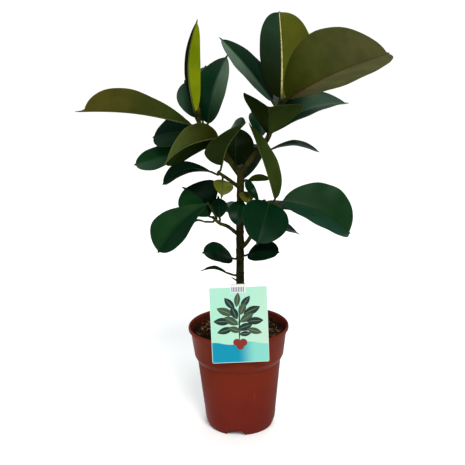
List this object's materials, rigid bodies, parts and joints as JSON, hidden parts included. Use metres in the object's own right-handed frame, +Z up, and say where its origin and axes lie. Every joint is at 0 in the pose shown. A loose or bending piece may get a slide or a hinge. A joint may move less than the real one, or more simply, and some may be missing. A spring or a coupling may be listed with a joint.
{
  "type": "potted rubber plant",
  "caption": "Young branching rubber plant with broad glossy oval leaves, growing in soil in a tapered terracotta-coloured nursery pot with a bent plastic label over its rim.",
  "frame": {"origin": "centre of the pot's foot ring, on the ground", "axes": "+Z up along the trunk; -Y is the front, where the label's card hangs; +X to the right seen from the front"},
  "size_m": [0.4641, 0.339, 0.6976],
  "materials": {
    "pot": "satin terracotta-red plastic",
    "soil": "moist dark peat compost with tan fibres",
    "label": "printed plastic sheet, mint and blue",
    "bark": "dark olive-brown young bark with leaf scars",
    "bud": "red-brown sheath",
    "leaf": "thick waxy leaf, glossy above and duller olive below"
  },
  "bodies": {
    "root": {"pot": "pot", "soil": "soil", "label": "label", "stem": "bark", "bud_right": "bud", "bud_left": "bud", "leaf_right_1": "leaf", "leaf_right_2": "leaf", "leaf_right_3": "leaf", "leaf_right_4": "leaf", "leaf_right_5": "leaf", "leaf_right_6": "leaf", "leaf_right_7": "leaf", "leaf_right_8": "leaf", "leaf_left_1": "leaf", "leaf_left_2": "leaf", "leaf_left_3": "leaf", "leaf_left_4": "leaf", "leaf_left_5": "leaf", "leaf_left_6": "leaf", "leaf_left_7": "leaf", "leaf_left_8": "leaf", "leaf_left_9": "leaf", "leaf_upper_twig_1": "leaf", "leaf_upper_twig_2": "leaf", "leaf_upper_twig_3": "leaf", "leaf_left_twig_1": "leaf", "leaf_left_twig_2": "leaf", "leaf_left_twig_3": "leaf", "leaf_left_twig_4": "leaf", "leaf_right_twig_1": "leaf", "leaf_right_twig_2": "leaf", "leaf_right_twig_3": "leaf", "leaf_right_twig_4": "leaf", "leaf_right_twig_5": "leaf", "leaf_right_twig_6": "leaf", "leaf_trunk_1": "leaf", "leaf_trunk_2": "leaf", "leaf_trunk_3": "leaf", "leaf_trunk_4": "leaf", "leaf_trunk_5": "leaf", "leaf_trunk_6": "leaf", "leaf_trunk_7": "leaf", "leaf_trunk_8": "leaf", "leaf_trunk_9": "leaf", "leaf_trunk_10": "leaf", "leaf_trunk_11": "leaf", "leaf_trunk_12": "leaf", "leaf_trunk_13": "leaf"}
  },
  "joints": []
}
